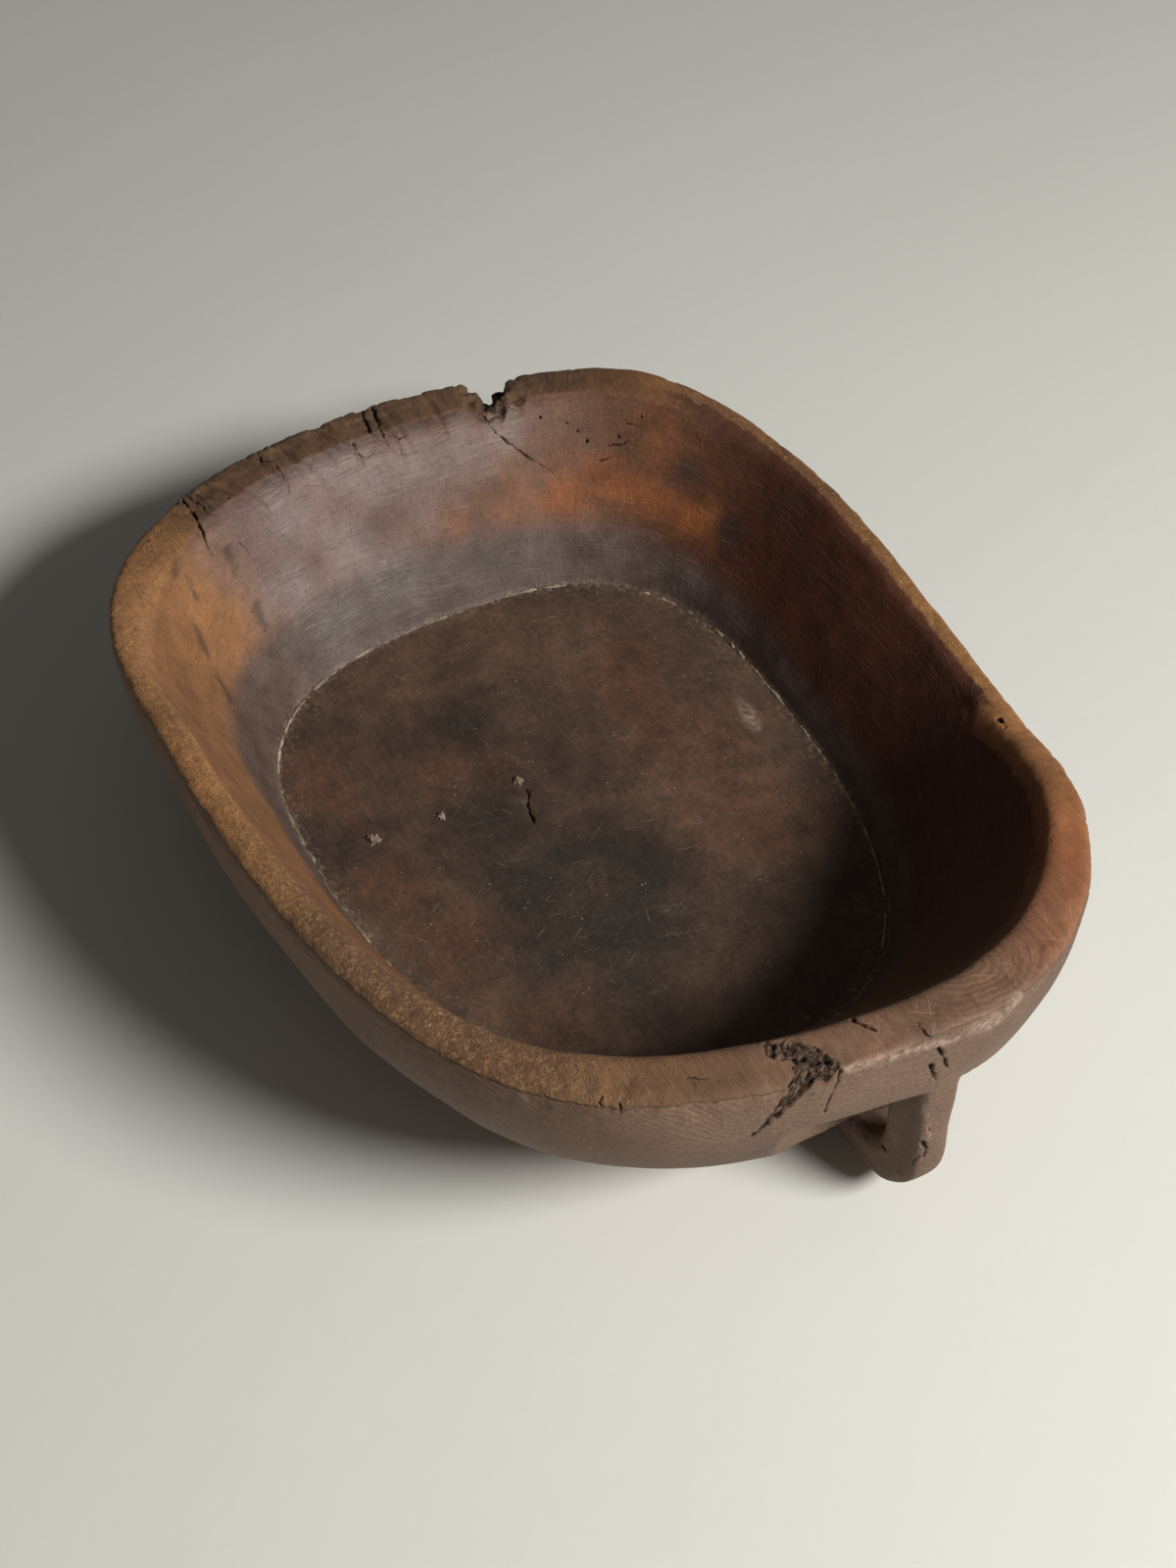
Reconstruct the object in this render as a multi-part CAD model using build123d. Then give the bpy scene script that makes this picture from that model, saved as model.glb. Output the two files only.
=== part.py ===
from build123d import *
import os
from math import cos, pi, sin

# A deep dough bowl carved from one block of wood, with a loop handle under the lip of one end.
# X runs along the bowl towards the handle, Y across it to the right, Z up from the ground.

# Point of the plan from which every reach is measured: the widest and the longest line cross here
MIDDLE_X = -50.0
MIDDLE_Y = 11.0

# Outer edge of the rim, measured from the middle point
RIM_TO_HANDLE_END = 324.0
RIM_TO_FAR_END = 218.0
RIM_TO_RIGHT = 192.5
RIM_TO_LEFT = 213.0

# How square each corner of the plan is, from 2 for an oval upwards
CORNER_HANDLE_RIGHT = 2.45
CORNER_FAR_RIGHT = 2.66
CORNER_FAR_LEFT = 2.75
CORNER_HANDLE_LEFT = 2.66

# Thickness of the wall at the rim
WALL_HANDLE_END = 25.0
WALL_FAR_END = 35.0
WALL_RIGHT = 13.5
WALL_LEFT = 13.5

# Height of the uneven rim above the ground, all round from the handle end by way of the right side
RIM_HIGH_HANDLE_END = 152.0
RIM_HIGH_HANDLE_SHOULDER_RIGHT = 147.0
RIM_HIGH_HANDLE_CORNER_RIGHT = 136.0
RIM_HIGH_SADDLE_RIGHT = 97.0
RIM_HIGH_RIGHT = 103.0
RIM_HIGH_BEYOND_RIGHT = 106.0
RIM_HIGH_FAR_CORNER_RIGHT = 113.0
RIM_HIGH_FAR_SHOULDER_RIGHT = 109.0
RIM_HIGH_FAR_END = 113.0
RIM_HIGH_FAR_SHOULDER_LEFT = 112.0
RIM_HIGH_FAR_CORNER_LEFT = 113.0
RIM_HIGH_BEYOND_LEFT = 129.0
RIM_HIGH_LEFT = 145.0
RIM_HIGH_SADDLE_LEFT = 149.0
RIM_HIGH_HANDLE_CORNER_LEFT = 148.0
RIM_HIGH_HANDLE_SHOULDER_LEFT = 160.0
RIM_WEAR = 4.0

# Flat floor of the hollow and the flare of the wall above it
FLOOR_THICKNESS = 25.0
FLOOR_TO_HANDLE_END = 223.0
FLOOR_TO_FAR_END = 125.5
FLOOR_TO_RIGHT = 125.0
FLOOR_TO_LEFT = 149.0
FLOOR_CORNER = 2.6
WALL_FLARE = 1.15

# Flat underside and the swelling flank above it
BASE_TO_HANDLE_END = 230.0
BASE_TO_FAR_END = 125.0
BASE_TO_RIGHT = 127.0
BASE_TO_LEFT = 128.0
BASE_CORNER = 2.0
FLANK_SWELL = 2.4

# Spare height of the rough block above the rim, and fineness of the carved lines
BLOCK_SPARE = 25.0
LINE_POINTS = 32
FLANK_LINES = 4
HOLLOW_LINES = 4
WASTE_INNER = 0.6
WASTE_OUTER = 1.2

# Lip over the handle: a flat face cut back into the handle end, and the finger scoop under it
LIP_CUT = 3.0
LIP_UNDERSIDE_Z = 103.0
LIP_TILT = 14.0
SCOOP_DEPTH = 42.5
SCOOP_MIDDLE_Y = 30.0
SCOOP_RADIUS = 110.0
SCOOP_ROUND = 10.0

# Loop handle: a strap that hangs from the lip and turns back into the flank
LOOP_MIDDLE_Y = 28.0
LOOP_WIDTH = 20.0
LOOP_THICKNESS = 24.0
LOOP_ROUND = 5.0
LOOP_SETBACK = 1.5
LOOP_CLEAR_OF_GROUND = 6.0
LOOP_BEND = 30.0

# Broken notch in the outer edge of the far rim, at a share of a turn from the handle end. It runs inwards
# at a skew in degrees and rises as it goes, so that it dies out near the hollow
NOTCH_TURN = 0.447
NOTCH_WIDTH = 34.0
NOTCH_DEPTH = 19.0
NOTCH_SKEW = 22.0
NOTCH_RISE = 18.0

# Dried dough left in the corner between floor and wall, and as crumbs on the floor
BEAD_WIDTH = 3.6
BEAD_HEIGHT = 2.2
BEAD_SLOPE = 1.6
CRUMB_HEIGHT = 2.4
CRUMB_SLIMNESS = 0.75
CRUMB_SIDES = 7
CRUMB_LEAN = 30.0
CRUMB_LEFT_X = -40.0
CRUMB_LEFT_Y = -104.0
CRUMB_LEFT_RADIUS = 4.6
CRUMB_MIDDLE_X = -39.0
CRUMB_MIDDLE_Y = -66.0
CRUMB_MIDDLE_RADIUS = 3.4
CRUMB_RIGHT_X = -42.0
CRUMB_RIGHT_Y = -19.0
CRUMB_RIGHT_RADIUS = 4.0

os.makedirs("parts", exist_ok=True)

RIM_REACH = (RIM_TO_HANDLE_END, RIM_TO_FAR_END, RIM_TO_RIGHT, RIM_TO_LEFT)
INNER_REACH = (
    RIM_TO_HANDLE_END - WALL_HANDLE_END,
    RIM_TO_FAR_END - WALL_FAR_END,
    RIM_TO_RIGHT - WALL_RIGHT,
    RIM_TO_LEFT - WALL_LEFT,
)
FLOOR_REACH = (FLOOR_TO_HANDLE_END, FLOOR_TO_FAR_END, FLOOR_TO_RIGHT, FLOOR_TO_LEFT)
BASE_REACH = (BASE_TO_HANDLE_END, BASE_TO_FAR_END, BASE_TO_RIGHT, BASE_TO_LEFT)
RIM_CORNERS = (CORNER_HANDLE_RIGHT, CORNER_FAR_RIGHT, CORNER_FAR_LEFT, CORNER_HANDLE_LEFT)
FLOOR_CORNERS = (FLOOR_CORNER,) * len(RIM_CORNERS)
BASE_CORNERS = (BASE_CORNER,) * len(RIM_CORNERS)
RIM_STATIONS = (
    RIM_HIGH_HANDLE_END,
    RIM_HIGH_HANDLE_SHOULDER_RIGHT,
    RIM_HIGH_HANDLE_CORNER_RIGHT,
    RIM_HIGH_SADDLE_RIGHT,
    RIM_HIGH_RIGHT,
    RIM_HIGH_BEYOND_RIGHT,
    RIM_HIGH_FAR_CORNER_RIGHT,
    RIM_HIGH_FAR_SHOULDER_RIGHT,
    RIM_HIGH_FAR_END,
    RIM_HIGH_FAR_SHOULDER_LEFT,
    RIM_HIGH_FAR_CORNER_LEFT,
    RIM_HIGH_BEYOND_LEFT,
    RIM_HIGH_LEFT,
    RIM_HIGH_SADDLE_LEFT,
    RIM_HIGH_HANDLE_CORNER_LEFT,
    RIM_HIGH_HANDLE_SHOULDER_LEFT,
)
BLOCK_TOP = max(RIM_STATIONS) + BLOCK_SPARE
LIP_FACE_X = MIDDLE_X + RIM_TO_HANDLE_END - LIP_CUT


def rim_high(turn):
    """Height of the rim at a share of a full turn, eased from station to station."""
    place = turn * len(RIM_STATIONS)
    station = int(place)
    t = place - station
    before, start, end, after = (
        RIM_STATIONS[(station + step) % len(RIM_STATIONS)] for step in (-1, 0, 1, 2)
    )
    slope_start = (end - before) / 2
    slope_end = (after - start) / 2
    rise = end - start
    bend = 3 * rise - 2 * slope_start - slope_end
    return start + t * (slope_start + t * (bend + t * (slope_start + slope_end - 2 * rise)))


def plan_point(reach, corners, turn):
    """Point of a rounded-square plan outline at a share of a full turn."""
    handle, far, right, left = reach
    along = cos(2 * pi * turn)
    across = sin(2 * pi * turn)
    corner = corners[int(4 * turn)]
    span = (abs(along) ** corner + abs(across) ** corner) ** (-1 / corner)
    x = MIDDLE_X + (handle if along > 0 else far) * span * along
    y = MIDDLE_Y + (right if across > 0 else left) * span * across
    return Vector(x, y)


def closed_line(place_point):
    """Smooth closed line through points set out all round the bowl."""
    points = [place_point(step / LINE_POINTS) for step in range(LINE_POINTS)]
    return Wire([Edge.make_spline(points, periodic=True)])


def flat_line(reach, corners, height):
    """Level outline of the plan."""
    return closed_line(lambda turn: plan_point(reach, corners, turn) + Vector(0, 0, height))


def flank_line(rise):
    """Line round the outside at a share of the rim's height, swelling up to an upright rim."""
    swell = 1 - (1 - rise) ** FLANK_SWELL

    def place_point(turn):
        base = plan_point(BASE_REACH, BASE_CORNERS, turn)
        rim = plan_point(RIM_REACH, RIM_CORNERS, turn)
        return base + (rim - base) * swell + Vector(0, 0, rise * rim_high(turn))

    return closed_line(place_point)


def hollow_line(rise):
    """Line round the hollow at a share of the way from the floor to the rim."""
    flare = rise**WALL_FLARE

    def place_point(turn):
        floor = plan_point(FLOOR_REACH, FLOOR_CORNERS, turn)
        rim = plan_point(INNER_REACH, RIM_CORNERS, turn)
        height = FLOOR_THICKNESS + rise * (rim_high(turn) - FLOOR_THICKNESS)
        return floor + (rim - floor) * flare + Vector(0, 0, height)

    return closed_line(place_point)


def rim_line(scale):
    """Line at the rim's height all round, at a share of the rim's reach."""
    reach = [scale * side for side in RIM_REACH]
    return closed_line(
        lambda turn: plan_point(reach, RIM_CORNERS, turn) + Vector(0, 0, rim_high(turn))
    )


# Rough block with its swelling flank, waste above the uneven rim, and hollow
flank_lines = [flat_line(BASE_REACH, BASE_CORNERS, 0)]
for level in range(1, FLANK_LINES + 1):
    flank_lines.append(flank_line(level / FLANK_LINES))
flank_lines.append(flat_line(RIM_REACH, RIM_CORNERS, BLOCK_TOP))
ground = Box(
    2 * RIM_TO_HANDLE_END, 2 * RIM_TO_LEFT, BLOCK_TOP, align=(Align.CENTER, Align.CENTER, Align.MAX)
)
block = Solid.make_loft(flank_lines) - ground

waste_skin = Face.make_surface_from_curves(rim_line(WASTE_INNER), rim_line(WASTE_OUTER))
waste = extrude(waste_skin, amount=BLOCK_TOP, dir=(0, 0, 1))

hollow_lines = [flat_line(FLOOR_REACH, FLOOR_CORNERS, FLOOR_THICKNESS)]
for level in range(1, HOLLOW_LINES + 1):
    hollow_lines.append(hollow_line(level / HOLLOW_LINES))
hollow_lines.append(flat_line(INNER_REACH, RIM_CORNERS, BLOCK_TOP))
hollow = Solid.make_loft(hollow_lines)

# Flat lip face, and the scoop that undercuts it to make room for the fingers
lip_waste = Pos(LIP_FACE_X, 0, 0) * Box(
    RIM_TO_HANDLE_END, 2 * RIM_TO_LEFT, 2 * BLOCK_TOP, align=(Align.MIN, Align.CENTER, Align.CENTER)
)
scoop = Cylinder(SCOOP_RADIUS, LIP_UNDERSIDE_Z, align=(Align.CENTER, Align.CENTER, Align.MAX))
scoop = fillet(scoop.edges().group_by(Axis.Z)[-1], SCOOP_ROUND)
scoop_x = LIP_FACE_X - SCOOP_DEPTH + SCOOP_RADIUS
scoop = Pos(scoop_x, SCOOP_MIDDLE_Y, LIP_UNDERSIDE_Z) * Rot(X=-LIP_TILT) * scoop

# Broken notch, a wedge driven into the outer edge of the wall
notch_inner = plan_point(INNER_REACH, RIM_CORNERS, NOTCH_TURN)
notch_outer = plan_point(RIM_REACH, RIM_CORNERS, NOTCH_TURN)
notch_foot = notch_outer + Vector(0, 0, rim_high(NOTCH_TURN) - NOTCH_DEPTH)
notch_level = Plane(notch_foot, x_dir=(0, 0, 1), z_dir=notch_outer - notch_inner)
notch_plane = notch_level * Rot(X=-NOTCH_SKEW) * Rot(Y=-NOTCH_RISE) * Plane.XY
notch_side = Polygon((0, 0), (2 * NOTCH_DEPTH, NOTCH_WIDTH), (2 * NOTCH_DEPTH, -NOTCH_WIDTH), align=None)
notch = extrude(notch_plane * notch_side, amount=2 * WALL_FAR_END, both=True)

# Bowl
body = block - hollow - waste
rim_face = body.faces().sort_by(lambda face: face.center().Z)[-1]
rim_edges = [edge for edge in rim_face.edges() if edge.is_closed]
body = fillet(rim_edges, RIM_WEAR) - lip_waste - scoop - notch
export_step(body, "parts/bowl_body.step")

# Loop handle, carved in one with the bowl: the strap stops at the faces of the lip and the flank
arm_x = LIP_FACE_X - LOOP_SETBACK - LOOP_THICKNESS / 2
foot_z = LOOP_CLEAR_OF_GROUND + LOOP_THICKNESS / 2
arm_top = Vector(arm_x, LOOP_MIDDLE_Y, LIP_UNDERSIDE_Z + LOOP_THICKNESS)
arm_foot = Vector(arm_x, LOOP_MIDDLE_Y, foot_z + LOOP_BEND)
bar_start = Vector(arm_x - LOOP_BEND, LOOP_MIDDLE_Y, foot_z)
bar_end = Vector(MIDDLE_X + BASE_TO_HANDLE_END - LOOP_THICKNESS, LOOP_MIDDLE_Y, foot_z)
bend = TangentArc(arm_foot, bar_start, tangent=(0, 0, -1))
strap_line = Wire([Edge.make_line(arm_top, arm_foot), bend.edge(), Edge.make_line(bar_start, bar_end)])
strap_plane = Plane(arm_top, x_dir=(0, 1, 0), z_dir=(0, 0, -1))
strap_side = strap_plane * RectangleRounded(LOOP_WIDTH, LOOP_THICKNESS, LOOP_ROUND)
loop_handle = sweep(strap_side, path=strap_line) - (block - lip_waste - scoop)
export_step(loop_handle, "parts/loop_handle.step")

# Bead of dried dough in the corner of the hollow
bead_foot = [side - BEAD_WIDTH for side in FLOOR_REACH]
bead_print = Face(
    flat_line(FLOOR_REACH, FLOOR_CORNERS, FLOOR_THICKNESS),
    [flat_line(bead_foot, FLOOR_CORNERS, FLOOR_THICKNESS)],
)
bead_blank = extrude(bead_print, amount=BEAD_HEIGHT, dir=(0, 0, 1))
bead_crest = bead_blank.edges().group_by(Axis.Z)[-1].sort_by(lambda edge: edge.length)[0]
dough_bead = chamfer(bead_crest, BEAD_SLOPE)
export_step(dough_bead, "parts/dough_bead.step")


def crumb(x, y, radius):
    """Flattened crumb of dried dough stuck to the floor."""
    corners = [2 * pi * side / CRUMB_SIDES for side in range(CRUMB_SIDES)]
    outline = [(radius * cos(turn), CRUMB_SLIMNESS * radius * sin(turn)) for turn in corners]
    lump = extrude(Polygon(*outline, align=None), amount=CRUMB_HEIGHT, taper=CRUMB_LEAN)
    return Pos(x, y, FLOOR_THICKNESS) * lump


crumb_left = crumb(CRUMB_LEFT_X, CRUMB_LEFT_Y, CRUMB_LEFT_RADIUS)
export_step(crumb_left, "parts/dough_crumb_left.step")
crumb_middle = crumb(CRUMB_MIDDLE_X, CRUMB_MIDDLE_Y, CRUMB_MIDDLE_RADIUS)
export_step(crumb_middle, "parts/dough_crumb_middle.step")
crumb_right = crumb(CRUMB_RIGHT_X, CRUMB_RIGHT_Y, CRUMB_RIGHT_RADIUS)
export_step(crumb_right, "parts/dough_crumb_right.step")

for name, piece in (
    ("bowl_body", body),
    ("loop_handle", loop_handle),
    ("dough_bead", dough_bead),
    ("dough_crumb_left", crumb_left),
    ("dough_crumb_middle", crumb_middle),
    ("dough_crumb_right", crumb_right),
):
    print(name, "solids", len(piece.solids()), "valid", piece.is_valid, "volume", round(piece.volume))
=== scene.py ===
# %% [markdown]
# An old dough bowl, carved from one block of wood. The solid model gives every size and place, so the
# first step loads it as a fixed frame and remembers its box. Nothing below moves or resizes it.

# %% Load the frame
import math

import bmesh
import bpy
import numpy as np
from mathutils import Matrix, Vector, noise
from mathutils.bvhtree import BVHTree
from mathutils.kdtree import KDTree


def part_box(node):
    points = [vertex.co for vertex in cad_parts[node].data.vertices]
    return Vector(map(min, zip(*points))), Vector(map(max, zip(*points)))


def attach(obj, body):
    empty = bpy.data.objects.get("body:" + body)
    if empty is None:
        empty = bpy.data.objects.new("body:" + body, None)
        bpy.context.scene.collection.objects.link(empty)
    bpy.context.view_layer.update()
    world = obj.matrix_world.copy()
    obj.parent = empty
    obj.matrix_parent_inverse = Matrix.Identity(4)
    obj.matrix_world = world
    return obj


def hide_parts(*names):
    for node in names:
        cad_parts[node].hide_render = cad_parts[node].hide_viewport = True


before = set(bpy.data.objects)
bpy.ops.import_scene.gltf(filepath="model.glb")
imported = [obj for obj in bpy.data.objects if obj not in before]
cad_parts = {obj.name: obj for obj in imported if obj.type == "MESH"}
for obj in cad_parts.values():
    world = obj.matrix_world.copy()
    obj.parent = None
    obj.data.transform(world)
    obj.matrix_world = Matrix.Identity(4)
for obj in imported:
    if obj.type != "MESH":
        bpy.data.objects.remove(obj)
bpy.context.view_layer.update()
MM = 0.001


def in_scene(name, data):
    """A new object with its data, linked into the scene."""
    made = bpy.data.objects.new(name, data)
    bpy.context.scene.collection.objects.link(made)
    return made


# %% [markdown]
# The camera stands where the photograph was taken, above the handle end and looking down into the hollow.
# Its place was worked out beforehand by fitting the bowl's outline. The same numbers turn a pixel of the
# photograph into a ray, which later puts cracks and stains where they belong.

# %% Camera
PHOTO_WIDTH, PHOTO_HEIGHT = 1200, 1600
FOCAL_PIXELS = 2250.0
SENSOR_MM = 36.0
EYE = Vector((0.6734, -0.3639, 0.8862))
LOOK = Vector((-0.5950, 0.3219, -0.7365)).normalized()
LOOK_RIGHT = Vector((0.4758, 0.8795, 0.0)).normalized()
LOOK_DOWN = LOOK.cross(LOOK_RIGHT)

camera = in_scene("camera", bpy.data.cameras.new("camera"))
turned = Matrix((LOOK_RIGHT, -LOOK_DOWN, -LOOK)).transposed()
camera.matrix_world = Matrix.Translation(EYE) @ turned.to_4x4()
camera.data.sensor_width = SENSOR_MM
camera.data.lens = SENSOR_MM * FOCAL_PIXELS / PHOTO_HEIGHT
bpy.context.scene.camera = camera


def ray_through(pixel):
    """Direction from the camera through a pixel of the photograph."""
    across = (pixel[0] - PHOTO_WIDTH / 2) / FOCAL_PIXELS
    down = (pixel[1] - PHOTO_HEIGHT / 2) / FOCAL_PIXELS
    return (LOOK + across * LOOK_RIGHT + down * LOOK_DOWN).normalized()


print("lens", round(camera.data.lens, 2), "mm, eye", round(EYE.z, 2), "m above the ground")

# %% [markdown]
# The bowl and its loop handle are one piece of wood, but two solids. A voxel remesh melts the two into one
# closed skin of small even squares, which is the right start for carving by numbers: every later step
# moves these points a little. A subdivided cage would follow the solid less closely and leave seams.

# %% One skin of wood over bowl and handle
SKIN_CELL = 1.5 * MM


def mesh_from(shape, name):
    """A new mesh out of a bmesh, which is freed."""
    mesh = bpy.data.meshes.new(name)
    shape.to_mesh(mesh)
    shape.free()
    return mesh


def applied(made):
    """A new mesh out of an object, with its modifiers applied."""
    return bpy.data.meshes.new_from_object(made.evaluated_get(bpy.context.evaluated_depsgraph_get()))


def melted(nodes, cell):
    """One closed mesh over several solids, in even squares of about one cell."""
    joined = bmesh.new()
    for node in nodes:
        joined.from_mesh(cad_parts[node].data)
    mesh = mesh_from(joined, "blank")
    blank = in_scene("blank", mesh)
    remesh = blank.modifiers.new("melt", "REMESH")
    remesh.mode = "VOXEL"
    remesh.voxel_size = cell
    skin = applied(blank)
    bpy.data.objects.remove(blank)
    bpy.data.meshes.remove(mesh)
    return skin


def points_of(mesh):
    """The mesh's points and their normals, as two arrays."""
    points = np.empty(len(mesh.vertices) * 3)
    mesh.vertices.foreach_get("co", points)
    normals = np.empty(len(mesh.vertices) * 3)
    mesh.vertices.foreach_get("normal", normals)
    return points.reshape(-1, 3), normals.reshape(-1, 3)


def put_points(mesh, points):
    """Moves the mesh's points, and gives them back with their new normals."""
    mesh.vertices.foreach_set("co", points.ravel())
    mesh.update()
    return points_of(mesh)


wood = melted(["bowl_body", "loop_handle"], SKIN_CELL)
at, out = points_of(wood)
print("skin of", len(at), "points")

# %% [markdown]
# To carve and colour by place, each point needs to know where on the bowl it lies. The bead of dough in
# the corner of the hollow marks the floor's outline, so its box gives the floor's reach and level. From
# there each point gets its turn round the bowl, its depth below the rim, and how far inwards it lies.

# %% Where each point lies on the bowl
PLAN_MIDDLE = np.array([-50.0, 11.0]) * MM
PLAN_SQUARENESS = 2.6
TURN_STEPS = 360
LIP_SHADOW_X = 226.5 * MM
LIP_SHADOW_Z = 118 * MM
RIM_BAND = 12 * MM
FLOOR_FADE = (14 * MM, 6 * MM)
bead_low, bead_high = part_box("dough_bead")
FLOOR_LEVEL = bead_low.z
FLOOR_PLUS = np.array([bead_high.x, bead_high.y]) - PLAN_MIDDLE
FLOOR_MINUS = PLAN_MIDDLE - np.array([bead_low.x, bead_low.y])


def eased(values, start, end):
    """0 before start, 1 past end, smooth between. Start may be the larger."""
    share = np.clip((values - start) / (end - start), 0, 1)
    return share * share * (3 - 2 * share)


def between(values, start, full, fading, end):
    """1 from full to fading, 0 before start and past end, smooth between."""
    return eased(values, start, full) * eased(values, end, fading)


def plan_of(points):
    """Turn round the bowl from -pi to pi, reach in floor outlines, and the way outwards in plan."""
    offset = points[:, :2] - PLAN_MIDDLE
    side_reach = np.where(offset > 0, FLOOR_PLUS, FLOOR_MINUS)
    side = offset / side_reach
    reach = (np.abs(side) ** PLAN_SQUARENESS).sum(1) ** (1 / PLAN_SQUARENESS)
    outward = np.sign(side) * np.abs(side) ** (PLAN_SQUARENESS - 1) / side_reach
    outward /= np.linalg.norm(outward, axis=1)[:, None] + 1e-9
    return np.arctan2(side[:, 1], side[:, 0]), reach, outward


def highest_by_turn(turn, values):
    """The largest value at even steps of the turn, smoothed a little."""
    step = ((turn + math.pi) / (2 * math.pi) * TURN_STEPS).astype(int) % TURN_STEPS
    most = np.zeros(TURN_STEPS)
    np.maximum.at(most, step, values)
    return np.stack([np.roll(most, shift) for shift in (-2, -1, 0, 1, 2)]).mean(0)


def read_by_turn(turn, profile):
    """The value of a profile round the bowl at each turn."""
    step = (turn + math.pi) / (2 * math.pi) * TURN_STEPS - 0.5
    return np.interp(step, np.arange(TURN_STEPS), profile, period=TURN_STEPS)


turn, reach, _ = plan_of(at)
rim_heights = highest_by_turn(turn, np.where(out[:, 2] > 0.2, at[:, 2], 0))
near_rim = read_by_turn(turn, rim_heights) - at[:, 2] < RIM_BAND
rim_reaches = highest_by_turn(turn, np.where(near_rim, reach, 0))


def places_of(points, normals):
    """Named measures of where points lie. Depth and inward are in metres, most others run from 0 to 1."""
    turn, reach, outward = plan_of(points)
    rim = read_by_turn(turn, rim_heights)
    facing = (normals[:, :2] * outward).sum(1)
    height = points[:, 2]
    off_ground = height > FLOOR_LEVEL - 5 * MM
    rise = height - FLOOR_LEVEL
    floor = eased(normals[:, 2], 0.80, 0.97) * eased(rise, *FLOOR_FADE)
    floor *= eased(reach, 1.06, 0.99) * off_ground
    under_lip = (points[:, 0] > LIP_SHADOW_X) & (height < LIP_SHADOW_Z)
    hollow = np.maximum(eased(facing, 0.30, -0.15), floor) * ~under_lip
    hollow *= off_ground & (normals[:, 2] > -0.3)
    plan_reach = np.linalg.norm(points[:, :2] - PLAN_MIDDLE, axis=1)
    depth = rim - height
    return {
        "turn": turn,
        "away": np.arctan2(-np.sin(turn), -np.cos(turn)),
        "reach": reach,
        "depth": depth,
        "inward": (read_by_turn(turn, rim_reaches) - reach) * plan_reach / np.maximum(reach, 0.01),
        "share": np.clip(rise / np.maximum(rim - FLOOR_LEVEL, MM), 0, 1),
        "floor": floor,
        "hollow": hollow,
        "top": eased(normals[:, 2], 0.25, 0.75) * eased(depth, 16 * MM, 7 * MM) * ~under_lip,
    }


place = places_of(at, out)
print("rim from", round(rim_heights.min() / MM), "to", round(rim_heights.max() / MM), "mm high")

# %% [markdown]
# Hands and scrapers have rounded the inner edge of the rim, most of all at the far end, where the wall is
# thickest. Averaging each point with its neighbours, many times over, wears an edge down in just that
# way, and a mask keeps the wear where it belongs. A bevel would need a clean edge to start from.

# %% Wear the inner edge round
WEAR_ROUNDS = 70
RIM_WEAR = 0.25
LOOP_WEAR = 0.22

edges = np.empty(len(wood.edges) * 2, dtype=np.int64)
wood.edges.foreach_get("vertices", edges)
edges = edges.reshape(-1, 2)
neighbours = np.bincount(edges.ravel(), minlength=len(at))
far_end = eased(at[:, 0], -0.11, -0.19)
worn_share = far_end * eased(place["inward"], 10 * MM, 24 * MM) * eased(place["depth"], 34 * MM, 18 * MM)
worn_share = np.maximum(worn_share, RIM_WEAR * eased(place["depth"], 14 * MM, 6 * MM))
loop_low, loop_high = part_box("loop_handle")
on_loop = eased(at[:, 0], loop_low.x - 4 * MM, loop_low.x + 4 * MM) * eased(at[:, 2], 96 * MM, 84 * MM)
on_loop *= eased(at[:, 1], loop_low.y - 8 * MM, loop_low.y)
on_loop *= eased(at[:, 1], loop_high.y + 8 * MM, loop_high.y)
worn_share = np.maximum(worn_share, LOOP_WEAR * on_loop)
for _ in range(WEAR_ROUNDS):
    for axis in range(3):
        ahead = np.bincount(edges[:, 0], weights=at[edges[:, 1], axis], minlength=len(at))
        behind = np.bincount(edges[:, 1], weights=at[edges[:, 0], axis], minlength=len(at))
        mean = (ahead + behind) / neighbours
        at[:, axis] += 0.5 * worn_share * (mean - at[:, axis])
at, out = put_points(wood, at)
print("worn over", int((worn_share > 0.5).sum()), "points")

# %% [markdown]
# A hand-carved wall is never a clean curve. The adze leaves broad shallow hollows, the block has moved as
# it dried, and the rim has chipped most where it was struck and lifted. Layers of smooth noise along the
# normals do this: long waves everywhere, short ones near the rim, and ledges where the far edge broke away.

# %% Carve the uneven surface
def ripple(points, length, shift=0.0):
    """Smooth noise from about -1 to 1, its waves about one length long. Length may differ by axis."""
    return np.array([noise.noise(p) for p in (points / np.asarray(length) + shift).tolist()])


def scallops(points, size, shift=0.0):
    """Shallow hollows from 0 to 1, as an adze leaves them."""
    return np.array([noise.voronoi(p)[0][0] for p in (points / np.asarray(size) + shift).tolist()])


NOTCH_PIXEL = (503, 412)
NOTCH_LEVEL = 101 * MM
ROUND_REACH = 0.25
MEAN_SCALLOP = 0.45
# The sizes of tool cuts and ledges are in mm.
TOOL_CUT = (5, 60, 40)
TOOL_DEPTH = 1.5
LEDGE = (9, 9, 6)
LEDGE_HEIGHT = 4.5
LEDGE_MEAN = 0.55

place = places_of(at, out)
wall = 1 - place["floor"]
outside = 1 - place["hollow"]
rough_top = eased(place["depth"], 22 * MM, 5 * MM)
outer_edge = eased(place["inward"], 20 * MM, 8 * MM) * eased(place["depth"], 20 * MM, 8 * MM)
far_left = between(place["away"], -0.30, -0.10, 0.54, 0.64)
notch_way = ray_through(NOTCH_PIXEL)
notch_spot = EYE + notch_way * ((NOTCH_LEVEL - EYE.z) / notch_way.z)
broken = eased(np.linalg.norm(at - np.array(notch_spot), axis=1), 26 * MM, 14 * MM)
unrolled = np.stack([place["turn"] * ROUND_REACH, place["inward"], place["depth"]], 1)
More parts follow.
